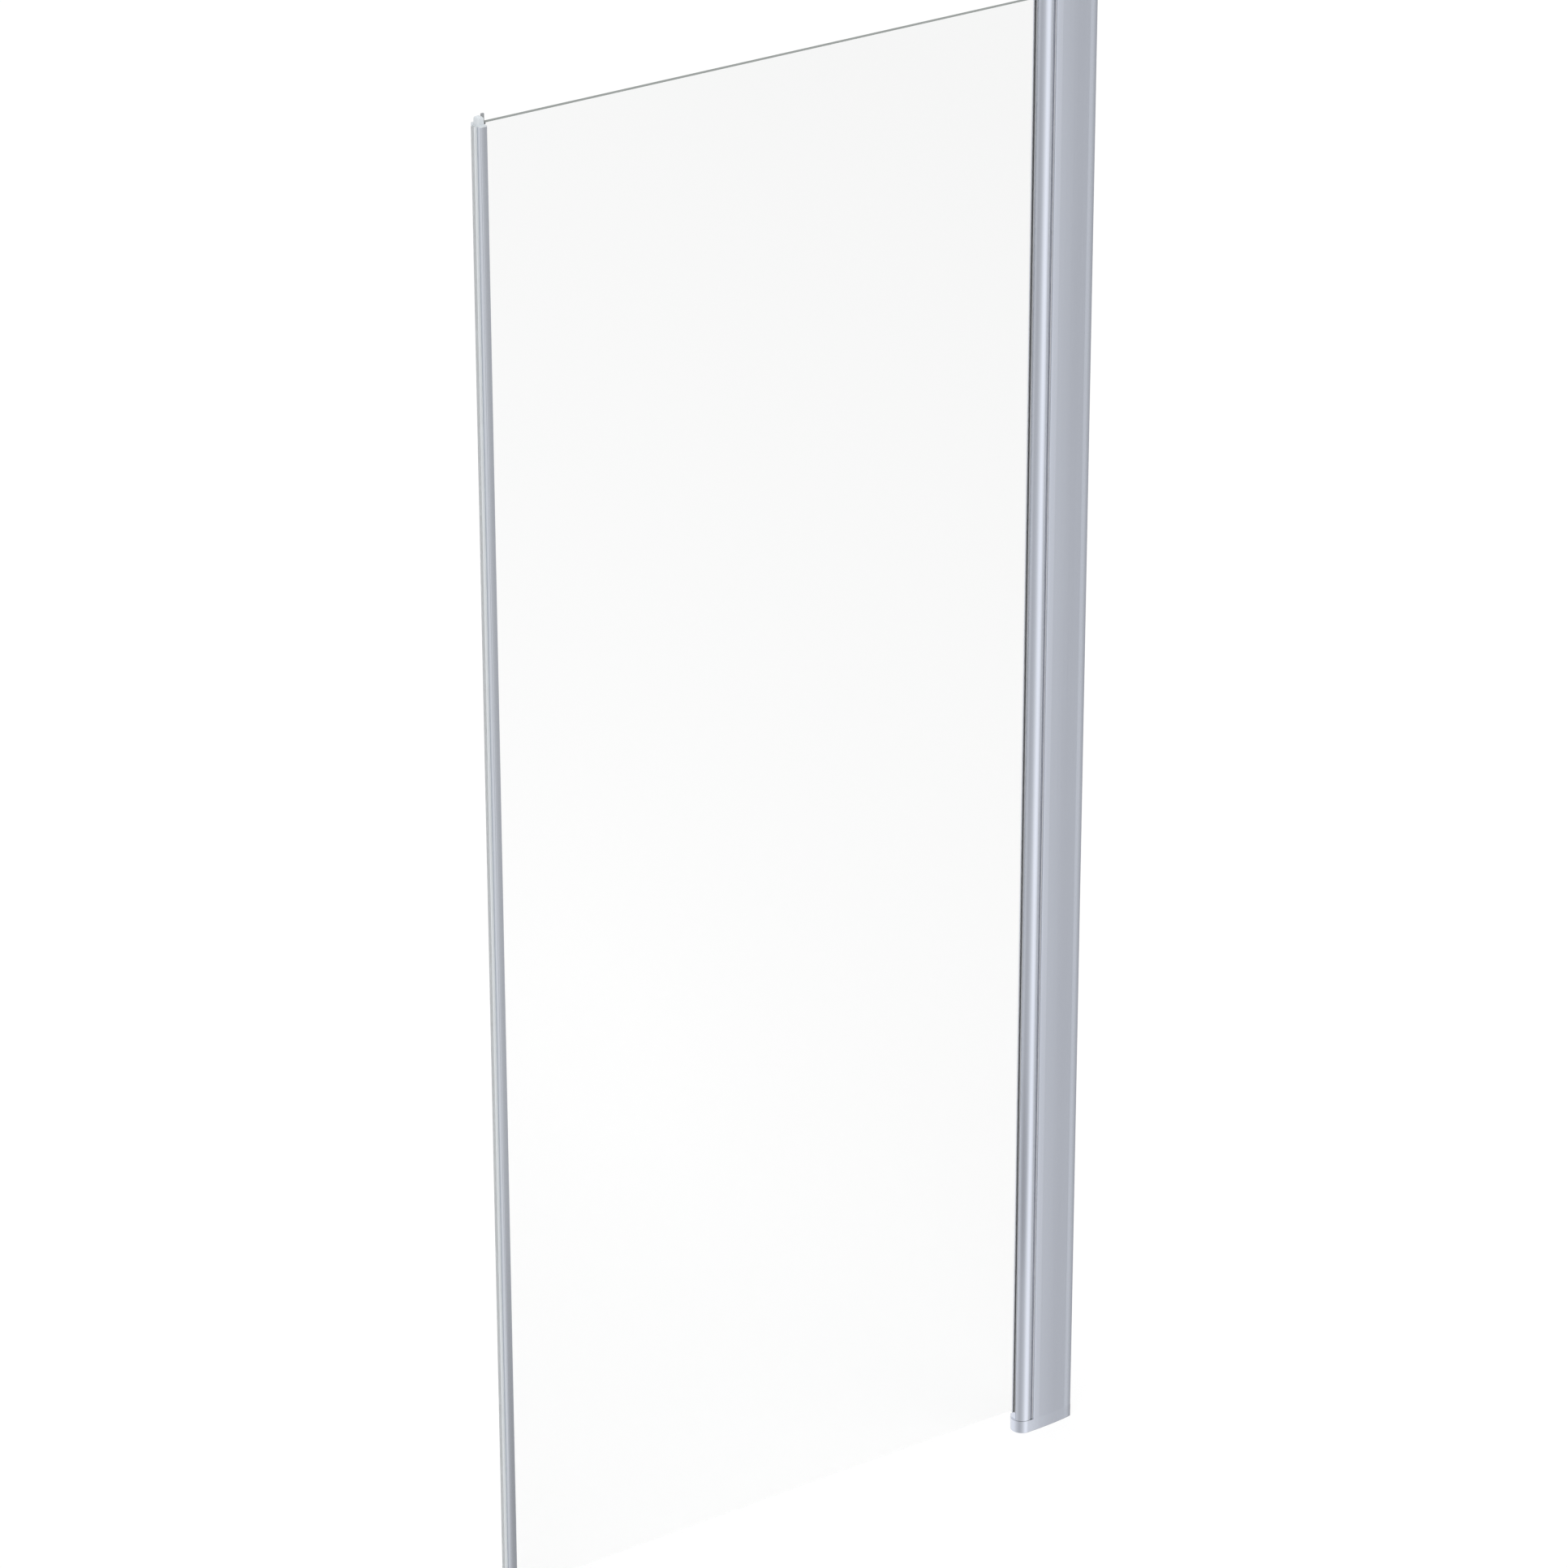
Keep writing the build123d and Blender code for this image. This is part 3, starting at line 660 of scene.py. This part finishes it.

# Ellipses on the floor that only mirrors meet, a pool of painted light and a painted shadow: middle,
# turn in degrees, half axes
LIGHT_POOL = ((0.148, -1.251), -64.8, (0.818, 0.27))
POOL_STRENGTH = 1.5
PAINTED_SHADOW_PATCH = ((-0.61, -0.40), -52, (0.85, 0.34))
PAINTED_SHADOW_DEPTH = 0.24


def floor_shader():
    """White with a faint shadow to the eye, a pool of painted light in the glass, a painted shadow in
    the metal.
    """
    made, tree = material("studio_floor")
    matte = tree.add("ShaderNodeBsdfDiffuse", {}, {"Color": grey(0.8)})
    clear = tree.add("ShaderNodeBsdfTransparent")
    white = tree.emission(tree.mix(tree.ray("Camera"), WHITE_IN_GLASS, STRAIGHT_WHITE), 1.0)
    seen = tree.mix_shader(WHITE_SHARE, matte, white)
    # Full light well inside the pool, less and less with the root of the way out
    pool = (1.273 - 0.463 * spot(tree, *LIGHT_POOL).math("SQRT")).between(0.03, 1.0)
    in_glass = tree.emission(pool, POOL_STRENGTH)
    # Clear to the air below, but for the painted shadow patch
    patch = (0.4 - 0.4 * spot(tree, *PAINTED_SHADOW_PATCH)).between(0, PAINTED_SHADOW_DEPTH)
    painted_shadow_in_metal = tree.mix_shader(patch, clear, tree.emission(grey(0.0), 0.0))
    mirrored_dully = tree.mix_shader(tree.ray("Glossy"), matte, painted_shadow_in_metal)
    mirrored_sharply = tree.mix_shader(tree.ray("Singular"), mirrored_dully, in_glass)
    tree.output(tree.mix_shader(tree.eye(), mirrored_sharply, seen))
    return made


MATT_AIR = grey(0.62)

# Bands of light round the door that its metal mirrors: degrees from +X, and a level
BANDS = (
    (0, 0.25), (30, 0.45), (60, 0.80), (80, 1.0), (100, 1.0), (124, 1.0), (137, 1.0), (150, 0.98),
    (170, 0.80), (190, 0.66), (206, 0.54), (222, 0.57), (238, 0.66), (250, 0.82), (261, 1.0),
    (272, 1.12), (284, 1.10), (294, 0.99), (301, 0.90), (306, 0.74), (310.5, 0.60), (314, 0.43),
    (317, 0.52), (320.5, 0.83), (324.5, 0.82), (328, 0.60), (332, 0.26), (345, 0.15),
)


def studio_world():
    """Plain grey air for matt surfaces, tall bands of light for glossy ones, white to the eye."""
    world = bpy.context.scene.world or bpy.data.worlds.new("studio")
    bpy.context.scene.world = world
    # What it shows depends on the kind of ray, so no map of its bright parts would be true
    world.cycles.sampling_method = "NONE"
    air = Tree(world)
    where = air.add("ShaderNodeTexCoord", output="Generated")
    turn = air.add("ShaderNodeTexGradient", {"gradient_type": "RADIAL"}, {"Vector": where}, output=1)
    stops = sorted(((angle + 180) % 360 / 360, level) for angle, level in BANDS)
    first, last = stops[0], stops[-1]
    gap = first[0] + 1 - last[0]
    seam = last[1] + (first[1] - last[1]) * (1 - last[0]) / gap
    bands = air.ramp(turn, [(0.0, seam)] + stops + [(1.0, seam)])
    matt_air, bright_bands, backdrop = [
        air.add("ShaderNodeBackground", {}, {"Color": colour, "Strength": 1.0})
        for colour in (MATT_AIR, bands, grey(1.0))
    ]
    lit = air.mix_shader(air.ray("Glossy"), matt_air, bright_bands)
    shown = air.mix_shader(air.eye(), lit, backdrop)
    air.add("ShaderNodeOutputWorld", {}, {"Surface": shown})


FLOOR_SIZE = 120
SUN_SPREAD = math.radians(40)


def floor():
    """A wide plane, which isn't part of the object."""
    bpy.ops.mesh.primitive_plane_add(size=FLOOR_SIZE, location=(0, 0, 0))
    plane = bpy.context.object
    plane.name = "studio_floor"
    plane.data.materials.append(floor_shader())


def soft_sun(name, turn, tilt, strength):
    """A distant soft lamp for matt surfaces, at degrees from +X and above the floor."""
    data = bpy.data.lights.new(name, "SUN")
    data.energy = strength
    data.angle = SUN_SPREAD
    lamp = bpy.data.objects.new(name, data)
    lamp.rotation_euler = (0, math.radians(90 - tilt), math.radians(turn))
    lamp.visible_glossy = False
    bpy.context.scene.collection.objects.link(lamp)


def camera():
    """The photograph's viewpoint: left of the door, outside it and above its top."""
    data = bpy.data.cameras.new("camera")
    data.lens = 152.15
    data.sensor_width = 36
    data.clip_start, data.clip_end = 0.1, 200
    cam = bpy.data.objects.new("camera", data)
    place = Vector((-4.6263, -6.0485, 4.4524))
    turn, tilt, roll = math.radians(35.0465), math.radians(24.785), math.radians(-0.066)
    ahead = Vector((math.sin(turn) * math.cos(tilt), math.cos(turn) * math.cos(tilt), -math.sin(tilt)))
    cam.location = place
    level = ahead.to_track_quat("-Z", "Y").to_matrix().to_4x4()
    cam.rotation_euler = (level @ Matrix.Rotation(roll, 4, "Z")).to_euler()
    bpy.context.scene.collection.objects.link(cam)
    bpy.context.scene.camera = cam


floor()
studio_world()
soft_sun("key", 215, 50, 1.1)
soft_sun("fill", 300, 40, 0.5)
soft_sun("back", 80, 45, 0.5)
camera()
bpy.context.scene.view_settings.view_transform = "Standard"
